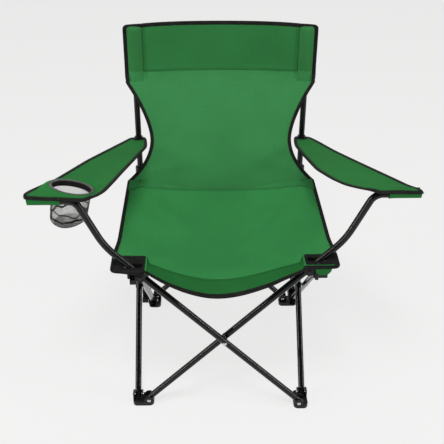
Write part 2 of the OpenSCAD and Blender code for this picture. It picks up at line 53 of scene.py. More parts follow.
scene.view_settings.view_transform = "Standard"
CAMERA_AT = (-0.0516, -1.5675, 1.4092)
yaw, pitch, roll = (math.radians(a) for a in (1.85, 32.59, 0.52))
ahead = np.array([math.sin(yaw) * math.cos(pitch), math.cos(yaw) * math.cos(pitch), -math.sin(pitch)])
side = np.array([math.cos(yaw), -math.sin(yaw), 0.0])
over = np.cross(side, ahead)
side, over = (math.cos(roll) * side + math.sin(roll) * over,
              math.cos(roll) * over - math.sin(roll) * side)
camera = bpy.data.objects.new("camera", bpy.data.cameras.new("camera"))
camera.data.sensor_width = 36
camera.data.lens = 57.81
camera.data.clip_end = 60
camera.matrix_world = Matrix([[*row, at] for row, at in zip(
    np.stack([side, over, -ahead], 1), CAMERA_AT)] + [[0, 0, 0, 1]])
scene.collection.objects.link(camera)
scene.camera = camera


# -------------------- sizes, in mm before the shift to the middle
def middle(node):
    low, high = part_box(node)
    return np.array(low + high) * 500


FRONT, REAR = middle("front_tube_outer")[1], middle("rear_tube_outer")[1]
SHIFT = (FRONT + REAR) / 2
OUT = (REAR - FRONT) / 2
IN = OUT - 18
SEAT_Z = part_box("seat_rear")[1].z * 1000
SEAM_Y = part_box("seat_rear")[1].y * 1000 - SHIFT
FRONT_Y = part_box("seat_front")[0].y * 1000 - SHIFT
SPLIT_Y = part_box("seat_rear")[0].y * 1000 - SHIFT
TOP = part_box("back_panel")[1].z * 1000
BAND_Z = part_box("headrest_band")[0].z * 1000
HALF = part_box("seat_rear")[1].x * 1000
PATCH_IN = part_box("corner_patch_right")[0].x * 1000
PATCH_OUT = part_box("corner_patch_right")[1].x * 1000
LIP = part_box("corner_patch_right")[1].y * 1000 - SHIFT
POST_X = 228.0
WAIST, WAIST_AT = 190.0, 105 / 245  # half the back's least width, and where it lies in the back's lower part
SLEEVE_Z, SLEEVE_IN = 700.0, 204.0  # the sleeves' lower ends and inner seams
DIP_REAR = 192.0  # half the width over which the seat's rear end dips
FOOT_PIN_Y, FOOT_PIN_Z, LEAN = 240.5, 18.0, math.radians(4)  # the back posts' lower pins and lean
THICK = 1.5  # of the cloth
STITCH_IN = 8.2  # from a cloth's edge to the stitches beside its binding
UP = np.array([0, 0, 1.0])
FORWARD = np.array([0, -1.0, 0])


def lean_y(z):
    """The back posts' middle at a height."""
    return FOOT_PIN_Y + (z - FOOT_PIN_Z) * math.tan(LEAN)


def smooth(a, b, x):
    """0 at a, 1 at b, and a soft step between them."""
    t = np.clip((np.asarray(x, float) - a) / (b - a), 0, 1)
    return t * t * (3 - 2 * t)


# -------------------- materials
class Shader:
    """A principled material, built node by node."""

    def __init__(self, name, **constants):
        self.material = bpy.data.materials.new(name)
        self.material.use_nodes = True
        self.tree = self.material.node_tree
        self.tree.nodes.clear()
        self.end = self.node("OutputMaterial")
        self.bsdf = self.node("BsdfPrincipled")
        self.tree.links.new(self.bsdf.outputs[0], self.end.inputs[0])
        for key, value in constants.items():
            self.put(self.bsdf, key.replace("_", " "), value)

    def node(self, kind, **settings):
        n = self.tree.nodes.new("ShaderNode" + kind)
        for key, value in settings.items():
            setattr(n, key, value)
        return n

    def put(self, n, key, value):
        if isinstance(value, bpy.types.NodeSocket):
            self.tree.links.new(value, n.inputs[key])
        else:
            n.inputs[key].default_value = value

    def math(self, operation, a, b=0.0):
        n = self.node("Math", operation=operation)
        self.put(n, 0, a)
        self.put(n, 1, b)
        return n.outputs[0]

    def noise(self, vector, scale, detail=2.0, stretch=None):
        if stretch:
            m = self.node("Mapping")
            self.put(m, "Vector", vector)
            m.inputs["Scale"].default_value = stretch
            vector = m.outputs[0]
        n = self.node("TexNoise")
        self.put(n, "Vector", vector)
        self.put(n, "Scale", scale)
        self.put(n, "Detail", detail)
        return n.outputs[0]

    def mix(self, factor, a, b):
        n = self.node("Mix", data_type="RGBA")
        self.put(n, 0, factor)
        self.put(n, 6, a)
        self.put(n, 7, b)
        return n.outputs[2]

    def ramp(self, value, low, high):
        n = self.node("MapRange")
        self.put(n, 0, value)
        self.put(n, 1, low)
        self.put(n, 2, high)
        return n.outputs[0]

    def bump(self, height, strength, distance):
        n = self.node("Bump")
        self.put(n, "Height", height)
        self.put(n, "Strength", strength)
        self.put(n, "Distance", distance)
        self.put(self.bsdf, "Normal", n.outputs[0])

    def threads(self, pitch):
        """Cloth coordinates in mm, and the wave of a plain weave over them."""
        uv = self.node("UVMap").outputs[0]
        split = self.node("SeparateXYZ")
        self.put(split, 0, uv)
        turn = 2 * math.pi / pitch
        u, v = (self.math("SINE", self.math("MULTIPLY", split.outputs[i], turn)) for i in (0, 1))
        return uv, self.math("MULTIPLY_ADD", self.math("MULTIPLY", u, v), 0.5), u


def shade(colour, k):
    return (*(min(1.0, c * k) for c in colour), 1.0)


def woven(name, colour, gloss=0.08):
    """Plain woven polyester, with slubs both ways and a broad change of tone."""
    s = Shader(name, Specular_IOR_Level=gloss)
    uv, weave, _ = s.threads(1.5)
    place = s.node("TexCoord").outputs["Object"]
    broad = s.noise(place, 7.0, 3.0)
    slub = s.noise(uv, 1.0, 2.0, (0.35, 0.012, 1.0))
    cross = s.noise(uv, 1.0, 2.0, (0.012, 0.3, 1.0))
    tone = s.math("ADD", s.math("MULTIPLY", s.math("ADD", slub, cross), 0.3), s.math("MULTIPLY", weave, 0.35))
    tone = s.math("ADD", tone, s.math("MULTIPLY", s.ramp(broad, 0.3, 0.7), 0.3))
    s.put(s.bsdf, "Base Color", s.mix(s.ramp(tone, 0.15, 1.05), shade(colour, 0.8), shade(colour, 1.24)))
    s.put(s.bsdf, "Roughness", s.math("MULTIPLY_ADD", broad, 0.12))
    s.bsdf.inputs["Roughness"].links[0].from_node.inputs[2].default_value = 0.62
    s.bump(s.math("ADD", weave, s.math("MULTIPLY", slub, 0.8)), 0.35, 0.00025)
    return s.material


def ribbed(name, colour, pitch=1.6, rough=0.72):
    """Ribbed tape, thread and cord, paler where it is worn."""
    s = Shader(name, Specular_IOR_Level=0.1)
    _, weave, rib = s.threads(pitch)
    wear = s.noise(s.node("TexCoord").outputs["Object"], 60.0, 4.0)
    tone = s.math("ADD", s.math("MULTIPLY", s.math("ADD", rib, weave), 0.25), s.ramp(wear, 0.35, 0.75))
    s.put(s.bsdf, "Base Color", s.mix(s.ramp(tone, -0.2, 1.4), shade(colour, 0.55), shade(colour, 1.9)))
    s.put(s.bsdf, "Roughness", rough)
    s.bump(s.math("ADD", rib, s.math("MULTIPLY", weave, 0.5)), 0.5, 0.0002)
    return s.material


def moulded(name, colour, rough, grain, depth, worn, gloss, metal=0.0):
    """Coated tube, moulded plastic and metal, with a fine grain and scuffs."""
    s = Shader(name, Metallic=metal, Specular_IOR_Level=gloss)
    place = s.node("TexCoord").outputs["Object"]
    fine, broad = s.noise(place, grain, 3.0), s.noise(place, 22.0, 4.0)
    scuff = s.ramp(s.noise(place, 90.0, 6.0, (1.0, 1.0, 0.25)), 0.6, 0.8)
    s.put(s.bsdf, "Base Color", s.mix(scuff, s.mix(broad, shade(colour, 0.8), shade(colour, 1.2)),
                                      shade(colour, worn)))
    scuffed = s.math("ADD", s.math("MULTIPLY", scuff, 0.1), rough - 0.07)
    s.put(s.bsdf, "Roughness", s.math("ADD", s.math("MULTIPLY", broad, 0.14), scuffed))
    s.bump(fine, 0.3, depth)
    return s.material


seat_green = woven("seat_weave", (0.033, 0.212, 0.058))
# the lap's green is a little darker than the seat's: painted shade along the crease between seat and back
lap_painted_shade_green = woven("lap_weave_painted_shade", (0.032, 0.190, 0.055))
back_green = woven("back_weave", (0.034, 0.188, 0.056))
band_green = woven("band_weave", (0.023, 0.146, 0.039))
# the hem's green is darker than the seat's: painted shade of the steeper, downturned front hem
hem_painted_shade_green = woven("hem_weave_painted_shade", (0.014, 0.116, 0.026))
arm_green = woven("arm_weave", (0.022, 0.158, 0.036), gloss=0.03)
sleeve_green = woven("sleeve_weave", (0.025, 0.145, 0.039))
tape_black = ribbed("binding", (0.009, 0.009, 0.0085))
patch_black = ribbed("patch_weave", (0.008, 0.0085, 0.008), 2.2, 0.62)
tape_grey = ribbed("ring_tape", (0.09, 0.09, 0.087), 1.6, 0.6)
thread_dark = ribbed("thread", (0.012, 0.060, 0.022), 0.8)
thread_black = ribbed("thread_black", (0.03, 0.03, 0.03), 0.8)
net_grey = ribbed("net_cord", (0.10, 0.10, 0.098), 0.8)
net_pale = ribbed("net_floor", (0.42, 0.42, 0.415), 0.8)
tube_black = moulded("tube_coat", (0.003, 0.003, 0.0032), 0.12, 1400.0, 0.00001, 2.2, 0.3)
plastic_black = moulded("moulded_black", (0.006, 0.006, 0.0065), 0.34, 900.0, 0.0001, 2.4, 0.25)
screw_black = moulded("screw_black", (0.012, 0.012, 0.013), 0.4, 500.0, 0.00005, 2.0, 0.3)
steel = moulded("rivet_steel", (0.62, 0.62, 0.64), 0.24, 500.0, 0.00004, 0.7, 0.5, 1.0)

for name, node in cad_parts.items():
    chosen = plastic_black
    if "rivet" in name and "hub" not in name:
        chosen = steel
    elif "screw" in name or "rivet" in name:
        chosen = screw_black
    elif ("tube" in name and "plug" not in name) or name in ("post_left", "post_right"):
        chosen = tube_black
    if not node.material_slots:
        node.data.materials.append(chosen)
    for s in node.material_slots:
        s.material = chosen


# -------------------- mesh building
class Shape:
    """Points in mm with faces, cloth coordinates in mm and material numbers."""

    def __init__(self):
        self.points, self.uv, self.faces, self.kinds = [], [], [], []

    def add(self, points, uv, faces, kind=0):
        start = len(self.points)
        self.points.extend(np.asarray(points, float).tolist())
        self.uv.extend(np.asarray(uv, float).tolist())
        self.faces.extend(tuple(i + start for i in f) for f in faces)
        self.kinds.extend([kind] * len(faces))

    def build(self, name, body, materials, angle=38):
        used = sorted({i for f in self.faces for i in f})
        number = {old: new for new, old in enumerate(used)}
        points = (np.array(self.points)[used] + (0, SHIFT, 0)) / 1000
        uv = np.array(self.uv)[used]
        faces = [tuple(number[i] for i in f) for f in self.faces]
        mesh = bpy.data.meshes.new(name)
        mesh.from_pydata(points.tolist(), [], faces)
        mesh.polygons.foreach_set("material_index", self.kinds)
        layer = mesh.uv_layers.new(name="cloth")
        loops = np.zeros(len(mesh.loops), np.int32)
        mesh.loops.foreach_get("vertex_index", loops)
        layer.data.foreach_set("uv", uv[loops].astype(np.float32).ravel())
        for m in materials:
            mesh.materials.append(m)
        mesh.shade_smooth()
        mesh.set_sharp_from_angle(angle=math.radians(angle))
        made = bpy.data.objects.new(name, mesh)
        scene.collection.objects.link(made)
        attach(made, body)
        return made


def xyz(x, y, z):
    """Points from three coordinates."""
    return np.stack(np.broadcast_arrays(x, y, z), -1)


def each(direction, path):
    """The same direction at every point of a path."""
    return np.broadcast_to(direction, path.shape)


def unit(v):
    return v / np.maximum(np.linalg.norm(v, axis=-1, keepdims=True), 1e-9)


def normals(grid, facing, closed=False):
    rows = np.gradient(grid, axis=0)
    cols = (np.roll(grid, -1, 1) - np.roll(grid, 1, 1)) if closed else np.gradient(grid, axis=1)
    n = unit(np.cross(rows, cols))
    return n if (n * facing).sum() > 0 else -n


def lengths(path):
    return np.concatenate([[0], np.cumsum(np.linalg.norm(np.diff(path, axis=0), axis=1))])


def cloth_uv(grid):
    half = grid.shape[1] // 2
    u = np.stack([lengths(row) for row in grid])
    u -= u[:, half:half + 1]
    v = lengths(grid[:, half])
    return np.stack(np.broadcast_arrays(u, v[:, None]), -1).reshape(-1, 2)


def add_sheet(shape, grid, facing, thick, closed=False, cut=None, kind=0):
    """A sheet whose seen face is the grid. cut(points of a cell) leaves a cell out. Returns the normals."""
    n, m = grid.shape[:2]
    out = normals(grid, facing, closed)
    flat = grid.reshape(-1, 3)
    cells = []
    for i in range(n - 1):
        for j in range(m if closed else m - 1):
            k = (j + 1) % m
            cell = (i * m + j, i * m + k, (i + 1) * m + k, (i + 1) * m + j)
            if cut is None or not cut(flat[list(cell)]):
                cells.append(cell)
    sample = cells[len(cells) // 2]
    a, b, _, d = flat[list(sample)]
    if np.dot(np.cross(b - a, d - a), out.reshape(-1, 3)[sample[0]]) < 0:
        cells = [tuple(reversed(q)) for q in cells]
    edges = {(q[i], q[(i + 1) % 4]) for q in cells for i in range(4)}
    rim = [(a, b) for a, b in edges if (b, a) not in edges]
    far = n * m
    faces = cells + [tuple(i + far for i in reversed(q)) for q in cells]
    faces += [(b, a, a + far, b + far) for a, b in sorted(rim)]
    uv = cloth_uv(grid)
    under = flat - out.reshape(-1, 3) * thick
    shape.add(np.concatenate([flat, under]), np.concatenate([uv, uv]), faces, kind)
    return out


def along(path, closed=False):
    if closed:
        return unit(np.roll(path, -1, 0) - np.roll(path, 1, 0))
    return unit(np.gradient(path, axis=0))


def spaced(path, step, closed=False, extra=None):
    """The path, and what belongs to its points, at even steps."""
    if closed:
        path = np.concatenate([path, path[:1]])
        extra = None if extra is None else np.concatenate([extra, extra[:1]])
    at = lengths(path)
    count = max(2, int(round(at[-1] / step)) + 1)
    to = np.linspace(0, at[-1], count)[:-1 if closed else None]
    new = np.stack([np.interp(to, at, path[:, i]) for i in range(3)], 1)
    if extra is None:
        return new
    return new, unit(np.stack([np.interp(to, at, extra[:, i]) for i in range(3)], 1))


def eased(path, times, closed=False):
    for _ in range(times):
        if closed:
            path = (np.roll(path, 1, 0) + 2 * path + np.roll(path, -1, 0)) / 4
        else:
            path = np.concatenate([path[:1], (path[:-2] + 2 * path[1:-1] + path[2:]) / 4, path[-1:]])
    return path


def oval(wide, deep, count=14, square=0.5):
    """A flattened tape's section."""
    a = np.arange(count) / count * 2 * math.pi
    c, s = np.cos(a), np.sin(a)
    return np.stack([np.sign(c) * abs(c) ** square * wide / 2, np.sign(s) * abs(s) ** square * deep / 2], 1)


def add_sweep(shape, path, out, up, section, closed=False, kind=0):
    """A section carried along a path, with its own axes out and up."""
    n, k = len(path), len(section)
    rings = path[:, None] + out[:, None] * section[None, :, :1] + up[:, None] * section[None, :, 1:]
    at = lengths(np.concatenate([path, path[:1]]))[:n]
    round_it = lengths(np.c_[section, np.zeros(k)])
    uv = np.stack(np.broadcast_arrays(at[:, None], round_it[None]), -1).reshape(-1, 2)
    faces = [(i * k + j, i * k + (j + 1) % k, (i + 1) % n * k + (j + 1) % k, (i + 1) % n * k + j)
             for i in range(n if closed else n - 1) for j in range(k)]
    if not closed:
        faces += [tuple(range(k)), tuple((n - 1) * k + j for j in reversed(range(k)))]
    if np.dot(np.cross(out[0], up[0]), along(path, closed)[0]) > 0:
        faces = [tuple(reversed(f)) for f in faces]
    shape.add(rings.reshape(-1, 3), uv, faces, kind)


TAPE_STEP = 4.0


def add_binding(shape, path, up, away, wide=9.0, deep=3.4, proud=1.0, closed=False, kind=0, ease=2):
    """Tape folded over an edge. away points out of the cloth at the path's middle."""
    away = spaced(path, TAPE_STEP, closed, each(away, path))[1]
    path, up = spaced(path, TAPE_STEP, closed, up)
    path = eased(path, ease, closed)
    out = unit(np.cross(along(path, closed), up))
    if (out * away).sum() < 0:
        out = -out
    add_sweep(shape, path + out * (proud - wide / 2), out, up, oval(wide, deep), closed, kind)


STITCH_FORM = ((-0.5, 0.1, -0.1), (-0.36, 1.0, 0.28), (0.36, 1.0, 0.28), (0.5, 0.1, -0.1))


def add_stitches(shape, path, up, pitch=4.2, long=3.0, thick=0.55, kind=0):
    """A row of stitches. STITCH_FORM gives place along, thickness and lift of their rings."""
    path, up = spaced(path, pitch, False, up)
    along_it = along(path)
    out = np.cross(along_it, up)
    ring = oval(thick, thick, 6, 1.0)
    for p, t, o, n in zip(path, along_it, out, up):
        pts = [p + t * at * long + n * lift + (o * c[0] + n * c[1]) * size
               for at, size, lift in STITCH_FORM for c in ring]
        faces = [(i * 6 + j, i * 6 + (j + 1) % 6, (i + 1) * 6 + (j + 1) % 6, (i + 1) * 6 + j)
                 for i in range(3) for j in range(6)]
        faces += [tuple(reversed(range(6))), tuple(range(18, 24))]
        shape.add(pts, np.zeros((24, 2)), faces, kind)


# -------------------- what each soft body does as the frame folds
SQUASH = {  # the width that is kept, and the x in m that stays in place
    "post_left": (0.264, -0.228), "waist": (0.15, -0.1973), "lumbar": (0.11, -0.1884),
    "seat_rear_half": (0.11, -0.1884), "seat_front_half": (0.11, -0.1884),
}


def crumple(piece, body):
    """Gives a piece of cloth on a squashed body or an arm its own copy of its mesh."""
    if body in SQUASH:
        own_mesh(piece)
    elif body in ("arm_left", "arm_right"):
        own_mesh(piece)


def finish_piece(shape, name, body, materials, still=False, angle=38):
    piece = shape.build(name, body, materials, angle)
    if not still:
        crumple(piece, body)
    return piece


def cloth(shape, name, body, materials, replaces=(), still=False):
    """Builds a piece of cloth and hides the model's parts that it replaces."""
    piece = finish_piece(shape, name, body, materials, still)
    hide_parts(*replaces)
    return piece


# -------------------- seat
# Soft folds in the cloth: from, to, height and half width. The seat's are in x and y, the back's in x and z.
SEAT_FOLDS = [
    ((-236, 150), (-40, -60), 2.2, 26), ((236, 150), (60, -90), 2.6, 24), ((200, 168), (90, 30), 2.0, 16),
    ((-186, -176), (-60, -60), 2.4, 22), ((186, -176), (50, -40), 2.4, 24), ((-20, 120), (10, -140), 1.6, 34),
    ((-150, 160), (-120, -40), -1.4, 22), ((150, 160), (130, -40), -1.4, 22), ((0, -30), (0, -190), 1.2, 30),
]
BACK_FOLDS = [
    ((-186, 560), (-60, 640), 1.6, 20), ((186, 560), (60, 640), 1.6, 20), ((-180, 545), (-40, 480), 2.0, 20),
    ((180, 545), (50, 470), 2.2, 20), ((-230, 468), (-60, 500), 2.0, 14), ((230, 468), (70, 520), 2.4, 16),
    ((-196, 700), (-120, 760), 1.4, 16), ((196, 700), (120, 760), 1.4, 16), ((-10, 520), (10, 700), 1.2, 40),
]


def folds(x, y, ridges):
    total = np.zeros(np.broadcast(x, y).shape)
    for (x0, y0), (x1, y1), high, half in ridges:
        dx, dy = x1 - x0, y1 - y0
        long = math.hypot(dx, dy)
        t = ((x - x0) * dx + (y - y0) * dy) / long ** 2
        off = ((x - x0) * dy - (y - y0) * dx) / long
        spread = half * (0.55 + 0.75 * np.clip(t, 0, 1.3))
        total += high * np.exp(-(off / spread) ** 2) * smooth(-0.08, 0.2, t) * smooth(1.25, 0.7, t)
    return total


def across(y):
    """0 at the seat's rear seam, 1 at its front edge."""
    return (SEAM_Y - y) / (SEAM_Y - FRONT_Y)


def dip_half(y):
    """Half the width over which the seat dips."""
    t = np.clip(across(y), 0, 1)
    return PATCH_IN * t + DIP_REAR * (1 - t) + (HALF - PATCH_IN) * 3.2 * t * (1 - t)


def seat_plain(x, y):
    """The seat's height without its hem and folds."""
    t = across(y)
    dip = 30 + 46 * t + 9 * 4 * t * (1 - t)
    return SEAT_Z - dip * np.maximum(0, 1 - (x / dip_half(y)) ** 2)


def seam_line(x):
    """Where the front hem is sewn on."""
    return FRONT_Y + 48 + 14 * (np.asarray(x, float) / PATCH_IN) ** 2


def hem_line(x):
    """The hem's front edge, further back at the right corner."""
    return FRONT_Y + 1 + 8.5 * smooth(110, PATCH_IN, x)


def seat_z(x, y):
    mid = np.maximum(0, 1 - (x / PATCH_IN) ** 2)
    seam = seam_line(np.clip(x, -PATCH_IN, PATCH_IN))
    lift = 13 * smooth(-70, -195, y) - 17 * np.clip((seam - y) / (seam - FRONT_Y), 0, 1)
    # the hem's right half hangs less
    right = smooth(-50, 95, x) * smooth(PATCH_IN, PATCH_IN - 60, x)
    lift = lift + 11 * right * smooth(-120, FRONT_Y + 6, y) / np.maximum(mid, 0.05) ** 0.8
    edge = (smooth(HALF, HALF - 34, abs(x)) * smooth(SEAM_Y + 2, SEAM_Y - 22, y)
            * smooth(FRONT_Y + 30, FRONT_Y + 90, y))
    return seat_plain(x, y) + lift * mid ** 0.8 + folds(x, y, SEAT_FOLDS) * edge


def seat_half(y):
    return HALF + 5.5 * smooth(-110, LIP, y)


def seat_grid(rows):
    y = rows[:, None]
    x = seat_half(y) * np.linspace(-1, 1, 65)
    return xyz(x, y, seat_z(x, y))


def side_bindings(name, body, grid, up):
    shape = Shape()
    for j, beside in ((0, 1), (-1, -2)):
        path = grid[:, j] - up[:, j] * THICK / 2
        add_binding(shape, path, up[:, j], grid[:, j] - grid[:, beside], 9.5, THICK + 2)
    return finish_piece(shape, name, body, [tape_black])


def seat_side_stitches(shape, rows):
    for s in (-1, 1):
        x = s * (seat_half(rows) - STITCH_IN)
        path = xyz(x, rows, seat_z(x, rows) + 1.0)
        add_stitches(shape, path, each(UP, path), kind=1)


def strips(x, start, end, count):
    """Rows at even steps between two lines across the seat, still without a height."""
    return np.stack([xyz(x, start + (end - start) * k, 0.0) for k in np.linspace(0, 1, count)])


rear_rows = np.r_[SEAM_Y + 1.4, np.linspace(SEAM_Y - 0.2, SPLIT_Y, 34)]
grid = seat_grid(rear_rows)
grid[0, :, 2] -= 1.6  # tucked under the back's cloth
shape = Shape()
up = add_sheet(shape, grid, UP, THICK)
# the back's cloth laps over the seat's as far as a straight seam; its green is a little darker than the seat's,
# painted shade of the crease between seat and back
x = np.linspace(-HALF + 5, HALF - 5, 61)
lap = np.stack([xyz(x, SEAM_Y - 0.4 - k * (7 + 50 * (x / HALF) ** 2), 0.0) for k in np.linspace(0, 1, 13)])
lap[..., 2] = seat_z(lap[..., 0], lap[..., 1]) + 1.1
add_sheet(shape, lap, UP, 1.1, kind=1)
cloth(shape, "seat_cloth_rear", "seat_rear_half", [seat_green, lap_painted_shade_green],
      ["seat_rear"])
side_bindings("seat_edge_rear", "seat_rear_half", grid, up)
shape = Shape()
x = np.linspace(-HALF + 9, HALF - 9, 60)
rear_seam = SEAM_Y - 5 - 50 * (x / HALF) ** 2
for off in (0.0, 3.5):
    row = xyz(x, rear_seam + off, seat_z(x, rear_seam + off) + 1.3)
    add_stitches(shape, row, each(UP, row))
seat_side_stitches(shape, rear_rows)
finish_piece(shape, "seat_stitching_rear", "seat_rear_half", [thread_dark, thread_black])

NEAR_EDGE_Z, HEM_EDGE_Z = 453.4, 453.8  # both tucked under the corners' cloth
front_rows = np.linspace(SPLIT_Y, LIP + 0.2, 30)
grid = seat_grid(front_rows)
shape = Shape()
up = add_sheet(shape, grid, UP, THICK)
x = (PATCH_IN + 1) * np.linspace(-1, 1, 65)
near = strips(x, LIP + 0.2, seam_line(x), 6)
near[..., 2] = seat_z(near[..., 0], near[..., 1])
near[:, (0, -1), 2] = NEAR_EDGE_Z
add_sheet(shape, near, UP, THICK)
# the front hem, coloured darker than the seat as painted shade of its downturn
hem = strips(x, seam_line(x), hem_line(x), 12)
hem[..., 2] = seat_z(hem[..., 0], hem[..., 1]) + 0.7
hem[:-1, (0, -1), 2] = HEM_EDGE_Z
hem[:-1, 0, 2] -= 9.5 * smooth(FRONT_Y + 9, FRONT_Y + 1, hem[:-1, 0, 1])
hem_up = add_sheet(shape, hem, UP, THICK + 1.2, kind=1)
cloth(shape, "seat_cloth_front", "seat_front_half", [seat_green, hem_painted_shade_green],
      ["seat_front"])
side_bindings("seat_edge_front", "seat_front_half", grid, up)
shape = Shape()
path = hem[-1] - hem_up[-1] * (THICK + 1.2) / 2
add_binding(shape, path, hem_up[-1], hem[-1] - hem[-2], 11.0, THICK + 3.0)
finish_piece(shape, "seat_hem_binding", "seat_front_half", [tape_black])
shape = Shape()
for k in (0, 1):
    add_stitches(shape, hem[k] + (0, 0, 0.3), hem_up[k])
inner = hem[-1] + (0, 9.2, 0)
inner[:, 2] = seat_z(inner[:, 0], inner[:, 1]) + 1.2
add_stitches(shape, inner, hem_up[-1], kind=1)
seat_side_stitches(shape, front_rows)
finish_piece(shape, "seat_stitching_front", "seat_front_half", [thread_dark, thread_black])


# -------------------- back
LOW_Z = SLEEVE_Z - 5  # where the back's lower part meets the upper one
LOW_Y = lean_y(LOW_Z) - 8 / math.cos(LEAN) - 2.7


def bow(x):
    """How far the back gives way between the posts."""
    return 14 * np.maximum(0, 1 - (x / SLEEVE_IN) ** 2)


def back_half(t):
    """Half the back's width: t is 0 at the seat and 1 at the sleeves' lower ends."""
    w = WAIST_AT
    return np.where(t >= w, WAIST + (HALF - WAIST) * np.clip((t - w) / (1 - w), 0, 1) ** 1.6,
                    WAIST + (HALF - WAIST) * np.clip((w - t) / w, 0, 1) ** 2)


def low_back(x, t):
    z0 = seat_plain(x, SEAM_Y) - 2.4
    z = z0 + (LOW_Z - z0) * t
    y = SEAM_Y + 0.6 + (LOW_Y - SEAM_Y - 0.6) * t + bow(x) * t
    inside = smooth(1.02, 0.8, abs(x) / back_half(np.clip(t, 0, 1))) * smooth(0, 0.12, t)
    return xyz(x, y - folds(x, z, BACK_FOLDS) * inside + 0.4, z)


def ahead_of_posts(z):
    """How far the cloth stands forward to clear the posts at the sleeves' ends."""
    return 9.3 * np.clip(1 - (np.asarray(z, float) - LOW_Z) / 51, 0, 1) ** 2


def high_back(x, z):
    inside = smooth(SLEEVE_IN, SLEEVE_IN - 40, abs(x))
    y = lean_y(z) - 1.2 + bow(x) - ahead_of_posts(z) - folds(x, z, BACK_FOLDS) * inside
    return xyz(x, y, z)


def back_length(name, body, low, high, node):
    """One length of the back's lower part, with its bindings and stitches."""
    ts = np.linspace(low, high, 22)
    t = ts[:, None]
    grid = low_back(back_half(t) * np.linspace(-1, 1, 57), t)
    shape = Shape()
    up = add_sheet(shape, grid, FORWARD, THICK)
    cloth(shape, name, body, [back_green], [node])
    side_bindings(name + "_edges", body, grid, up)
    shape = Shape()
    for j, s in ((0, -1), (-1, 1)):
        path = np.stack([low_back(s * (back_half(t) - STITCH_IN), t) for t in ts]) - (0, 1.0, 0)
        add_stitches(shape, path, up[:, j])
    finish_piece(shape, name + "_stitching", body, [thread_black])


back_length("back_cloth_lumbar", "lumbar", 0.0, 0.5, "back_lumbar")
back_length("back_cloth_waist", "waist", 0.5, 1.012, "back_waist")

x = np.linspace(-SLEEVE_IN - 0.5, SLEEVE_IN + 0.5, 49)
rows = np.concatenate([[LOW_Z], np.linspace(LOW_Z + 2, TOP - 3, 34)])
grid = np.stack([high_back(x, z) for z in rows])
grid[0] = low_back(x, np.ones_like(x))
shape = Shape()
up = add_sheet(shape, grid, FORWARD, THICK)
cloth(shape, "back_cloth_upper", "post_left", [back_green],
      ["back_panel"])


def top_z(x):
    """The top edge, slightly higher in the middle."""
    return TOP - 3.0 + 6.5 * (1 - (np.asarray(x, float) / HALF) ** 4)


x = np.linspace(-SLEEVE_IN + 0.2, SLEEVE_IN - 0.2, 49)
grid = np.stack([high_back(x, BAND_Z + (top_z(x) - BAND_Z) * k) for k in np.linspace(0, 1, 20)]) - (0, 1.8, 0)
shape = Shape()
band_up = add_sheet(shape, grid, FORWARD, 1.3)
cloth(shape, "headrest_cloth", "post_left", [band_green],
      ["headrest_band"])
shape = Shape()
add_binding(shape, grid[-1] + (0, 1.6, 0), band_up[-1], UP[None] + 0 * grid[-1], 10.0, 5.4, 1.4)
finish_piece(shape, "back_top_binding", "post_left", [tape_black])
shape = Shape()
for up_by in (1.5, 4.5):
    row = high_back(x, BAND_Z + up_by + 0 * x) - (0, 2.0, 0)
    add_stitches(shape, row, band_up[0])
for s in (-1, 1):
    for off in (3.0, 6.5):
        zs = np.linspace(SLEEVE_Z + 6, TOP - 8, 40)
        path = np.stack([high_back(np.array(s * (SLEEVE_IN - off)), z) for z in zs])
        path[:, 1] -= np.where(zs > BAND_Z, 2.0, 0.2)
        add_stitches(shape, path, each(FORWARD, path))
finish_piece(shape, "back_stitching", "post_left", [thread_dark])

ROUND = 10.0
SLEEVE_TOP = TOP - 2


def sleeve_half(z):
    """How far the sleeve's outer edge lies outside the post's middle."""
    corner = np.clip((z - SLEEVE_TOP + ROUND) / ROUND, 0, 1)
    taper = np.clip((SLEEVE_Z + 14 - z) / 18, 0, 1)
    return HALF - POST_X - ROUND * (1 - np.sqrt(1 - corner ** 2)) - 2.5 * taper ** 2


def sleeve_ring(s, z):
    """The cloth round a post at a height, seen from above: front from inside to outside, then the back."""
    wide = float(sleeve_half(z))
    closing = min(1, max(0, (z - SLEEVE_TOP + 12) / 11.0))
    deep = 10.9 * (1 - closing ** 2) + 0.2 - 1.5 * float(smooth(SLEEVE_Z + 26, SLEEVE_Z - 5, z))
    inner = -(POST_X - SLEEVE_IN)
    a = np.concatenate([np.linspace(inner, wide, 25), np.linspace(wide, inner, 25)[1:-1]])
    front = np.arange(len(a)) < 25
    swell = np.where(a < 0, 1 - (a / inner) ** 2, 1 - (a / 17.0) ** 2).clip(0, 1) ** 0.72
    edge = ahead_of_posts(z) * np.where(a < 0, a / inner, a / wide)
    b = np.where(front, -np.maximum(deep * swell, edge) - 0.7,
                 np.minimum(deep * swell, 9.6) - edge * (1 - swell) + 0.7)
    return xyz(s * (POST_X + a), lean_y(z) + b, z)


def sleeve_front(s, x, z):
    """The y of a sleeve's front."""
    ring = sleeve_ring(s, z)[:25]
    return np.interp(x, abs(ring[:, 0]), ring[:, 1])


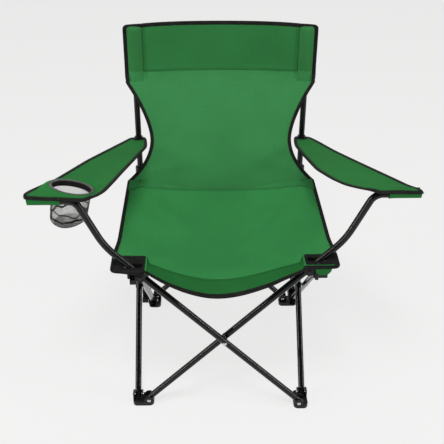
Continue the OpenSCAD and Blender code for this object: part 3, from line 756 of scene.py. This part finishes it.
for s, tag in ((-1, "left"), (1, "right")):
    body = "post_" + tag
    zs = np.concatenate([np.linspace(LOW_Z, SLEEVE_TOP - ROUND, 34),
                         SLEEVE_TOP - ROUND + ROUND * np.sin(np.linspace(0.2, 1.5, 8))])
    grid = np.stack([sleeve_ring(s, z) for z in zs])
    shape = Shape()
    cut = int(np.argmin(abs(zs - BAND_Z)))
    for kind, part in ((0, grid[cut:]), (1, grid[:cut + 1])):
        add_sheet(shape, part, part - part.mean(1, keepdims=True), 0.9, closed=True, kind=kind)
    cloth(shape, "sleeve_cloth_" + tag, body, [sleeve_green, back_green],
          ["sleeve_" + tag], still=True)
    path = [(s * (POST_X + float(sleeve_half(z))), lean_y(z) - ahead_of_posts(z), z)
            for z in np.linspace(LOW_Z - 1, SLEEVE_TOP - ROUND, 36)]
    path += [(s * (HALF - ROUND + ROUND * math.cos(a)), lean_y(TOP) - 2.5 * math.sin(a),
              SLEEVE_TOP - ROUND + ROUND * math.sin(a)) for a in np.linspace(0.15, math.pi / 2, 8)]
    path += [(s * x, lean_y(TOP) - 2.5, top_z(x) + (SLEEVE_TOP - top_z(HALF - ROUND)) * (x - SLEEVE_IN) / 40)
             for x in np.linspace(HALF - ROUND - 3, SLEEVE_IN - 0.5, 12)]
    path = np.array(path)
    shape = Shape()
    add_binding(shape, path, each(FORWARD, path), np.array([s, 0, 1.0]), 10.0, 4.4, 1.4, ease=1)
    finish_piece(shape, "sleeve_binding_" + tag, body, [tape_black], still=True)
    shape = Shape()
    zs = np.linspace(SLEEVE_Z - 2, TOP - 14, 40)
    for kind, x in ((0, SLEEVE_IN + 2.0), (1, HALF - 8.5)):
        path = np.array([(s * x, sleeve_front(s, x, z) - 0.2, z) for z in zs])
        add_stitches(shape, path, each(FORWARD, path), kind=kind)
    finish_piece(shape, "sleeve_stitching_" + tag, body, [thread_dark, thread_black], still=True)


# -------------------- front corners
def rounded(x0, x1, y0, y1, radii):
    """A rectangle's outline with its own radius at each corner, from the lower left one."""
    pts = []
    for (cx, cy), r, turn in zip(((x0, y0), (x1, y0), (x1, y1), (x0, y1)), radii, (180, 270, 0, 90)):
        ox = cx + (r if cx == x0 else -r)
        oy = cy + (r if cy == y0 else -r)
        for a in np.radians(turn + np.linspace(0, 90, 7)):
            pts.append((ox + r * math.cos(a), oy + r * math.sin(a)))
    return np.array(pts)


def by_angle(outline, centre, angles):
    """The outline's points at the given angles round a centre."""
    fine = []
    for p, q in zip(outline, np.roll(outline, -1, 0)):
        fine += [p + (q - p) * t for t in np.linspace(0, 1, 24, endpoint=False)]
    fine = np.array(fine) - centre
    turn = np.arctan2(fine[:, 1], fine[:, 0])
    order = np.argsort(turn)
    reach = np.interp(angles, turn[order], np.hypot(*fine[order].T), period=2 * math.pi)
    return centre + np.stack([reach * np.cos(angles), reach * np.sin(angles)], 1)


def holed(outline, hole, z, rings=7, count=120):
    """A flat grid between a hole and an outline."""
    centre = hole.mean(0)
    angles = np.linspace(-math.pi, math.pi, count, endpoint=False)
    outer, inner = by_angle(outline, centre, angles), by_angle(hole, centre, angles)
    return np.stack([np.c_[inner + (outer - inner) * k, np.full(count, z)] for k in np.linspace(0, 1, rings)])


def sunk(points, s, near):
    """The left corner's front edge hangs down towards the seat."""
    if s < 0:
        x, y = points[..., 0], points[..., 1]
        points[..., 2] -= 9 * smooth(-PATCH_OUT + 10, -PATCH_IN, x) * smooth(near + 8, near, y)
    return points


TUBE_AT, SLOT_END, SLOT_HALF = 194.5, 233.0, 9  # the slot for the support tube that comes up through the corner
CORNER_Z, PATCH_Z, CORNER_EDGE_Z, CORNER_ROUND = 454.0, 455.3, 453.6, 14
PATCH_GAP_IN, PATCH_GAP_OUT, PATCH_GAP_REAR = 3, 8, 3  # how far the black patch lies inside the corner
for s, tag, plane in ((-1, "left", OUT), (1, "right", IN)):
    body = "hub_front_" + tag
    slot_x = sorted((s * (TUBE_AT - SLOT_HALF), s * SLOT_END))
    hole = rounded(*slot_x, -plane - SLOT_HALF, -plane + SLOT_HALF, (SLOT_HALF - 0.1,) * 4)
    inner_x, outer_x = s * PATCH_IN, s * PATCH_OUT
    radii = (CORNER_ROUND, 2, 2, 6) if s < 0 else (2, CORNER_ROUND, 6, 2)
    near = FRONT_Y + (0.5 if s < 0 else 9.5)
    outline = rounded(*sorted((inner_x, outer_x)), near, LIP, radii)
    shape = Shape()
    add_sheet(shape, sunk(holed(outline, hole, CORNER_Z), s, near), UP, 1.2, closed=True)
    cloth(shape, "corner_cloth_" + tag, body, [seat_green],
          ["corner_patch_" + tag], still=True)
    front = near + (1.5 if s < 0 else 13)

    def patch_outline(inset, radius):
        ends = sorted((s * (PATCH_IN + PATCH_GAP_IN + inset), s * (PATCH_OUT - PATCH_GAP_OUT - inset)))
        return rounded(*ends, front + inset, LIP - PATCH_GAP_REAR - inset, (radius,) * 4)

    shape = Shape()
    grid = sunk(holed(patch_outline(0, 4), hole, PATCH_Z), s, near)
    up = add_sheet(shape, grid, UP, 1.2, closed=True)
    add_binding(shape, grid[0] - (0, 0, 0.6), up[0], grid[0] - grid[1], 4.0, 2.6, 0.6, closed=True, kind=1)
    cloth(shape, "corner_patch_cloth_" + tag, body, [patch_black, tape_black],
          (), still=True)
    shape = Shape()
    for inset in (2.5, 5.5):
        path = patch_outline(inset, 3)
        path = sunk(np.c_[np.concatenate([path, path[:1]]), np.full(len(path) + 1, PATCH_Z + 0.1)], s, near)
        add_stitches(shape, path, each(UP, path))
    finish_piece(shape, "corner_stitching_" + tag, body, [thread_black], still=True)
    # a strip that closes the slot's rear side from view
    shape = Shape()
    xs = np.linspace(PATCH_IN + 2, PATCH_IN + 54, 16) * s
    add_sheet(shape, np.stack([xyz(xs, -plane + 10.8, z) for z in (452.6, 449, 445, 441.6)]), FORWARD, 1.0)
    cloth(shape, "corner_lining_" + tag, body, [patch_black],
          (), still=True)
    r = CORNER_ROUND
    path = [(x, near) for x in np.linspace(inner_x, outer_x - s * r, 12)]
    path += [(outer_x - s * r * (1 - math.sin(a)), near + r * (1 - math.cos(a))) for a in np.linspace(0.1, 1.5, 9)]
    path += [(outer_x, y) for y in np.linspace(near + r + 1, LIP, 10)]
    path = sunk(np.c_[np.array(path), np.full(len(path), CORNER_EDGE_Z)], s, near)
    shape = Shape()
    add_binding(shape, path, each(UP, path), np.array([s, -1.0, 0]), 11.0, 4.2, 1.2, ease=1)
    finish_piece(shape, "corner_binding_" + tag, body, [tape_black], still=True)


# a rounded tab that hangs under the right corner, in the hem's darker green, which is painted shade
TAB_X, TAB_HALF, TAB_LONG, TAB_Z = 222, 19, 18, 452
x = TAB_HALF * np.linspace(-1, 1, 15)
tab = np.stack([xyz(TAB_X + x * math.sqrt(1 - (k * 0.95) ** 2), FRONT_Y + 10 - k, TAB_Z - TAB_LONG * k)
                for k in np.linspace(0, 1, 9)])
shape = Shape()
add_sheet(shape, tab, FORWARD, 1.0)
cloth(shape, "corner_tab", "hub_front_right", [hem_painted_shade_green], (),
      still=True)


# -------------------- arm rests
ARM_REAR_Z, ARM_FRONT_Z = 530.0, 641.0
REAR_Y = lean_y(ARM_REAR_Z)
TUBE_Z, ARM_TOP, ARM_END = 627.86, 342.0, 416.0  # the support tube's level end, and its reach in x
CUP, CUP_TILT = (-340.0, -158.0), 0.24
CUP_HOLE, POST_HOLE, POCKET_R, ARM_TAPE = 44.6, 14.0, 9.1, 8.5


def arm_slope(plane):
    return math.atan((ARM_FRONT_Z - ARM_REAR_Z) / (REAR_Y + plane))


def arm_outline(s, plane):
    """How far out the panel's edges lie, by the distance forward from the post along the slope."""
    front = -(REAR_Y + plane + 12) / math.cos(arm_slope(plane))
    outer = [(13, 247), (9, 252), (2, 254.5), (front * 0.43, 338), (front * 0.76, 388), (front + 62, 420),
             (front + 45, 428), (front + 8, 430), (front, 427)]
    inner = [(13, 216), (9, 211), (0, 207), (-50, 202), (-92, 199), (front + 130, 248), (front + 42, 265),
             (front + 14, 279), (front, 300)]
    if s > 0:
        outer = outer[:3] + [(front * 0.43, 326), (front * 0.76, 383), (front + 62, 403), (front + 45, 408),
                             (front + 8, 425), (front, 427)]
        inner = inner[:5] + [(-183, 205), (front + 175, 219), (front + 100, 241), (front + 46, 265),
                             (front + 23, 289), (front + 8, 314), (front, 330)]
    return front, outer, inner


def arm_point(s, plane, x, far):
    """A point of the panel: x outward from the chair's middle, far forward from the post along the slope."""
    slope = arm_slope(plane)
    front, outer, inner = arm_outline(s, plane)
    at_out = np.interp(far, *np.array(outer)[::-1].T)
    at_in = np.interp(far, *np.array(inner)[::-1].T)
    f = np.clip((at_out - x) / (at_out - at_in), 0, 1)
    droop = (4 if s < 0 else 1) * smooth(front + 190, front + 10, far) * smooth(0.25, 1.0, f) ** 1.3
    sag = 4.0 * np.sin(math.pi * f) * smooth(0, -90, far) * smooth(front + 4, front + 90, far)
    lift = 3.0 * smooth(front + 60, front, far) * smooth(0.35, 0.0, f)
    hem = 7.0 * np.clip((front + 15 - far) / 15, 0, 1) ** 2
    z = ARM_REAR_Z - far * math.sin(slope) - droop - sag + lift - hem
    if s < 0:
        # the cup's ring holds the cloth round it flat and tilted
        aside, along_y = x + CUP[0], REAR_Y + far * math.cos(slope) - CUP[1]
        rigid = smooth(1, 0, (np.hypot(aside, along_y) - 49) / 26)
        rigid = rigid * smooth(0, 12, np.minimum(at_out - x, x - at_in))
        z = z + rigid * (CUP_TILT * aside + sag + droop - 3.0)
    else:
        z = z - 4.0 * smooth(-20, -150, far) * smooth(0.5, 0, f)
    return xyz(s * x, REAR_Y + far * math.cos(slope), z)


def arm_grid(s, plane, rows=100, columns=26):
    front, outer, inner = arm_outline(s, plane)
    far = np.concatenate([[13, 11, 8.5, 5.5], np.linspace(2, front + 17, rows),
                          front + np.array([14, 11.5, 9, 6.5, 4, 2, 0])])
    at_out, at_in = (eased(np.interp(far, *np.array(line)[::-1].T), 14) for line in (outer, inner))
    f = np.linspace(0, 1, columns + 1)
    x = at_out[:, None] + (at_in - at_out)[:, None] * f[None]
    return arm_point(s, plane, x, far[:, None])


def punched(grid, centre, radius, reach):
    """Draws the grid's points near a circle onto it, seen from above."""
    away = grid[..., :2] - np.array(centre)
    r = np.linalg.norm(away, axis=-1)[..., None]
    drawn = np.array(centre) + away * (radius / np.maximum(r, 1e-6))
    grid[..., :2] = np.where(abs(r - radius) < reach, drawn, grid[..., :2])
    return grid


for s, tag, plane, tube in ((-1, "left", OUT, "outer"), (1, "right", IN, "inner")):
    body = "arm_" + tag
    grid = arm_grid(s, plane)
    post_at = (s * POST_X, REAR_Y)
    grid = punched(grid, post_at, POST_HOLE, 2.2)
    holes = [(post_at, POST_HOLE - 0.4)]
    if s < 0:
        grid = punched(grid, CUP, CUP_HOLE, 2.9)
        holes.append((CUP, CUP_HOLE - 0.4))
    shape = Shape()
    up = add_sheet(shape, grid, UP, THICK,
                   cut=lambda c: any(np.linalg.norm(c[:, :2] - h, axis=1).min() < r for h, r in holes))
    cloth(shape, "arm_cloth_" + tag, body, [arm_green],
          ["arm_panel_" + tag])
    edge = np.concatenate([grid[0, :-1], grid[:-1, -1], grid[-1, :0:-1], grid[:0:-1, 0]])
    edge_up = np.concatenate([up[0, :-1], up[:-1, -1], up[-1, :0:-1], up[:0:-1, 0]])
    path, path_up = spaced(edge - edge_up * THICK / 2, TAPE_STEP, True, edge_up)
    path = eased(path, 3, True)
    out = unit(np.cross(along(path, True), path_up))
    if (out * (path - edge.mean(0))).sum() < 0:
        out = -out
    shape = Shape()
    add_sweep(shape, path + out * (1.0 - ARM_TAPE / 2), out, path_up, oval(ARM_TAPE, THICK + 2.2), True)
    ring = np.radians(np.arange(0, 360, 10))
    tilt = math.tan(arm_slope(plane))
    radial = xyz(np.cos(ring), np.sin(ring), -np.sin(ring) * tilt)
    circle = np.array([*post_at, ARM_REAR_Z - 0.6]) + radial * (POST_HOLE + 2.2)
    plane_up = unit(np.array([0, tilt, 1.0]))
    add_sweep(shape, circle, unit(radial), each(plane_up, circle), oval(7.5, THICK + 2.0), True)
    finish_piece(shape, "arm_binding_" + tag, body, [tape_black])
    shape = Shape()
    seam = path - out * 9.2 + path_up * (THICK / 2 + 0.3)
    add_stitches(shape, np.concatenate([seam, seam[:1]]), np.concatenate([path_up, path_up[:1]]))
    finish_piece(shape, "arm_stitching_" + tag, body, [thread_black])
    # the pocket round the support's end, sewn under the panel
    angle = np.linspace(0, math.pi, 15)
    section = [(-plane - 10.6, 9.5), (-plane - 9.9, 4.5)]
    section += [(-plane - POCKET_R * math.cos(a), -POCKET_R * math.sin(a)) for a in angle]
    section += [(-plane + 9.8, 4.5), (-plane + 12, 9.5)]
    section = np.array(section)
    xs = np.linspace(ARM_TOP + 12, ARM_END + 8, 16)
    mouth = smooth(ARM_TOP + 26, ARM_TOP + 10, xs)
    grid = np.stack([np.c_[np.full(len(section), s * x), section[:, 0], TUBE_Z + section[:, 1] * (1 + 0.12 * m)]
                     for x, m in zip(xs, mouth)])
    shape = Shape()
    add_sheet(shape, grid, grid - (0, -plane, TUBE_Z), 0.9)
    cloth(shape, "arm_pocket_cloth_" + tag, "front_" + tube, [arm_green],
          ["arm_pocket_" + tag], still=True)


# -------------------- cup holder
slope = math.tan(arm_slope(OUT))
ring_up = unit(np.array([CUP_TILT, slope, 1.0]))
cup_far = (CUP[1] - REAR_Y) / math.cos(arm_slope(OUT))
CUP_MIDDLE = np.array([*CUP, float(arm_point(-1, OUT, np.array(-CUP[0]), np.array(cup_far))[2])])


def ring_path(radius, lift=0.0, count=96):
    """A circle in the ring's plane: its points and the way out at each."""
    a = np.arange(count) / count * 2 * math.pi
    flat = xyz(np.cos(a), np.sin(a), CUP_TILT * -np.cos(a) - slope * np.sin(a))
    return CUP_MIDDLE + flat * radius + ring_up * lift, unit(flat)


shape = Shape()
path, out = ring_path(45.2, -0.4)
add_sweep(shape, path, out, each(ring_up, path), oval(6.0, 3.4), True)
ring = finish_piece(shape, "cup_ring_tape", "arm_left", [tape_grey])
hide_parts("cup_ring")
shape = Shape()
path, out = ring_path(41.9, -7.0)
add_sweep(shape, path, out, each(ring_up, path), oval(1.4, 12.0), True)
finish_piece(shape, "cup_band", "arm_left", [tape_black])

# the net's cells round the bag, its cord's radius, the share of the depth at which its wall turns to the
# floor, and how far below the ring it starts
COUNT, CORD, TURN, NET_TOP = 60, 0.34, 0.80, 11
DEEP = CUP_MIDDLE[2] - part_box("cup_bag")[0].z * 1000 - 8
hang = np.array([0.2, 0.0, 1.0])
rows = []
depth = np.concatenate([np.linspace(0, TURN, 25),
                        TURN + (1 - TURN) * np.sin(np.linspace(0, math.pi / 2, 8)[1:])])
for k, d in enumerate(depth):
    a = (np.arange(COUNT) + 0.5 * (k % 2)) / COUNT * 2 * math.pi
    radius = 42.6 - 1.5 * d + 0.9 * np.sin(3 * a + 2) * d
    if d > TURN:
        radius = radius * (1 - 0.34 * ((d - TURN) / (1 - TURN)) ** 2.2)
    x, y = radius * np.cos(a), radius * np.sin(a)
    rows.append(CUP_MIDDLE + xyz(x, y, (-CUP_TILT * x - slope * y) * (1 - d))
                - hang * (NET_TOP + (DEEP - NET_TOP) * d))
rows = np.array(rows)
shape = Shape()
turn = np.radians([90, 210, 330])
for k in range(len(rows) - 1):
    for i in range(COUNT):
        for j in ((i, i - 1) if k % 2 == 0 else (i, i + 1)):
            p, q = rows[k, i], rows[k + 1, j % COUNT]
            t = unit(q - p)
            o = unit(np.cross(t, p - (*CUP, p[2])))
            n = np.cross(t, o)
            tri = [o * math.cos(b) * CORD + n * math.sin(b) * CORD for b in turn]
            shape.add([p + c for c in tri] + [q + c for c in tri], np.zeros((6, 2)),
                      [(0, 1, 4, 3), (1, 2, 5, 4), (2, 0, 3, 5)])
net = finish_piece(shape, "cup_net", "arm_left", [net_grey], angle=80)
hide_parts("cup_bag")
# two wavy creases round the bag, then its floor
shape = Shape()
a = np.arange(90) / 90 * 2 * math.pi
round_it = xyz(np.cos(a), np.sin(a), 0.0)
foot = CUP_MIDDLE - hang * DEEP
for wave, high, radius, follow, section in (
        (2.4 * np.sin(5 * a + 1) + 1.5 * np.sin(11 * a), 21, 40.2, 0.5, oval(2.4, 5.0)),
        (5.0 * np.sin(3 * a + 2.2) + 3.0 * np.sin(7 * a), 40, 42.4, -0.1, oval(1.6, 2.4))):
    path = foot + hang * high + round_it * (radius + follow * wave)[:, None] + UP * wave[:, None]
    add_sweep(shape, path, round_it, each(UP, path), section, True)
finish_piece(shape, "cup_seam", "arm_left", [tape_black])
FLOOR_R = 31
shape = Shape()
grid = np.stack([foot + xyz(r * np.cos(a), r * np.sin(a), 1.6 + 0.4 * np.sin(4 * a) * r / FLOOR_R)
                 for r in np.linspace(2, FLOOR_R, 9)])
add_sheet(shape, grid, UP, 0.8, closed=True)
piece = finish_piece(shape, "cup_floor", "arm_left", [net_pale])

# -------------------- floor and light
FLOOR_HALF = 15  # in m
FLOOR_GLOW = 0.8  # the share of its own pale colour in what the camera and shiny parts see of the floor
s = Shader("floor_paper", Roughness=0.9, Specular_IOR_Level=0.1)
cloud = s.noise(s.node("TexCoord").outputs["Object"], 3.0, 2.0)
s.put(s.bsdf, "Base Color", s.mix(cloud, (0.80, 0.80, 0.80, 1), (0.82, 0.82, 0.82, 1)))
glow = s.node("Emission")
s.put(glow, "Color", (0.90, 0.90, 0.895, 1))
blend = s.node("MixShader")
rays = s.node("LightPath").outputs
reflected = s.math("MAXIMUM", rays["Is Glossy Ray"], rays["Is Transmission Ray"])
seen = s.math("MAXIMUM", rays["Is Camera Ray"], reflected)
s.put(blend, 0, s.math("MULTIPLY", seen, FLOOR_GLOW))
s.put(blend, 1, s.bsdf.outputs[0])
s.put(blend, 2, glow.outputs[0])
s.put(s.end, 0, blend.outputs[0])
mesh = bpy.data.meshes.new("floor")
mesh.from_pydata([(x * FLOOR_HALF, y * FLOOR_HALF, 0) for x, y in ((-1, -1), (1, -1), (1, 1), (-1, 1))], [],
                 [(0, 1, 2, 3)])
mesh.materials.append(s.material)
floor = bpy.data.objects.new("floor", mesh)
scene.collection.objects.link(floor)

world = bpy.data.worlds.new("studio")
scene.world = world
world.use_nodes = True
tree = world.node_tree
tree.nodes.clear()


def world_node(kind, **inputs):
    made = tree.nodes.new("ShaderNode" + kind)
    for key, value in inputs.items():
        made.inputs[key.replace("_", " ")].default_value = value
    return made


end, rays = world_node("OutputWorld"), world_node("LightPath")
light = world_node("Background", Color=(1, 1, 1, 1), Strength=0.47)
backdrop = world_node("Background", Color=(0.86, 0.86, 0.86, 1), Strength=1.0)
room = world_node("Background", Strength=1.0)
# what shiny parts see: the pale backdrop behind the chair, a dim room on the camera's side
where, split = world_node("TexCoord"), world_node("SeparateXYZ")
tone = world_node("MapRange", From_Min=-0.1, From_Max=0.6, To_Min=0.12, To_Max=0.84)
shiny, seen = world_node("MixShader"), world_node("MixShader")
for a, b in ((where.outputs["Generated"], split.inputs[0]), (split.outputs["Y"], tone.inputs["Value"]),
             (tone.outputs[0], room.inputs[0]), (rays.outputs["Is Glossy Ray"], shiny.inputs[0]),
             (light.outputs[0], shiny.inputs[1]), (room.outputs[0], shiny.inputs[2]),
             (rays.outputs["Is Camera Ray"], seen.inputs[0]), (shiny.outputs[0], seen.inputs[1]),
             (backdrop.outputs[0], seen.inputs[2]), (seen.outputs[0], end.inputs[0])):
    tree.links.new(a, b)


SEAT_AT = Vector((0, 0, 0.45))


def lamp(name, place, power, wide, tall):
    """A rectangular lamp that points at the seat."""
    data = bpy.data.lights.new(name, "AREA")
    data.shape, data.energy, data.size, data.size_y = "RECTANGLE", power, wide, tall
    made = bpy.data.objects.new(name, data)
    made.location = place
    made.rotation_mode = "QUATERNION"
    made.rotation_quaternion = (SEAT_AT - Vector(place)).to_track_quat("-Z", "Y")
    scene.collection.objects.link(made)


lamp("left strip", (-3.5, -1.3, 1.5), 54, 0.38, 2.5)
lamp("right strip", (3.5, -1.0, 1.5), 50, 0.38, 2.5)
lamp("key", (-0.3, -1.4, 3.4), 54, 0.8, 0.8)
